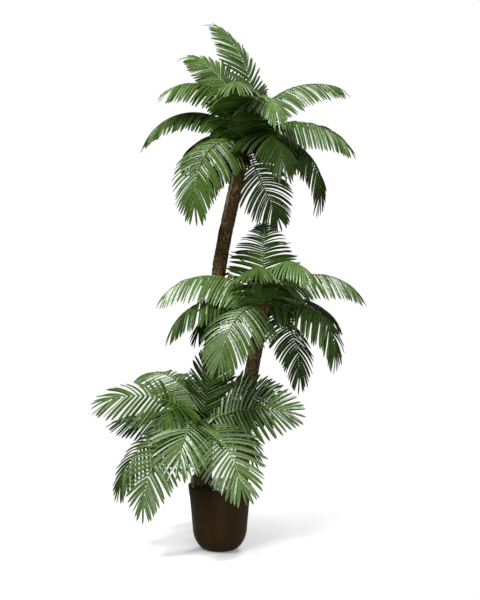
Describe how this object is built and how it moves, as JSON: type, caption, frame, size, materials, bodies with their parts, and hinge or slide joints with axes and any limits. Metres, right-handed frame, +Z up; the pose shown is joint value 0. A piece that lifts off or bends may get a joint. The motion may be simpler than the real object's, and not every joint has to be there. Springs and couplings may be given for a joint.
{
  "type": "artificial palm tree",
  "caption": "Artificial palm with curved trunks of stepped heights, each under a crown of arching feather fronds, standing in a round dark pot with a rounded foot.",
  "frame": {"origin": "on the floor, in the middle of the pot's flat underside", "axes": "+Z up, +X to the right of the front, which looks towards -Y"},
  "size_m": [1.0676, 0.9339, 2.1301],
  "materials": {
    "pot_plastic": "dark brown moulded plastic with a soft shine",
    "filling": "pale grey chippings set in a hard filling, with dark moss",
    "bark": "rough dark brown bark with pale grey-green patches",
    "leaves": "glossy green soft moulded leaflets on a pale rib"
  },
  "bodies": {
    "root": {"frond_low_01": "leaves", "frond_low_02": "leaves", "frond_low_03": "leaves", "frond_low_04": "leaves", "frond_low_05": "leaves", "frond_low_06": "leaves", "frond_low_07": "leaves", "frond_low_08": "leaves", "frond_low_09": "leaves", "frond_low_10": "leaves", "frond_low_11": "leaves", "frond_low_12": "leaves", "frond_low_13": "leaves", "frond_low_14": "leaves", "frond_low_15": "leaves", "frond_middle_01": "leaves", "frond_middle_02": "leaves", "frond_middle_03": "leaves", "frond_middle_04": "leaves", "frond_middle_05": "leaves", "frond_middle_06": "leaves", "frond_middle_07": "leaves", "frond_middle_08": "leaves", "frond_middle_09": "leaves", "frond_middle_10": "leaves", "frond_middle_11": "leaves", "frond_middle_12": "leaves", "frond_tall_01": "leaves", "frond_tall_02": "leaves", "frond_tall_03": "leaves", "frond_tall_04": "leaves", "frond_tall_05": "leaves", "frond_tall_06": "leaves", "frond_tall_07": "leaves", "frond_tall_08": "leaves", "frond_tall_09": "leaves", "frond_tall_10": "leaves", "frond_tall_11": "leaves", "frond_tall_12": "leaves", "frond_tall_13": "leaves", "frond_tall_14": "leaves", "frond_tall_15": "leaves", "frond_tall_16": "leaves", "pot": "pot_plastic", "pot_filling": "filling", "trunk_low": "bark", "trunk_middle": "bark", "trunk_tall": "bark"}
  },
  "joints": []
}
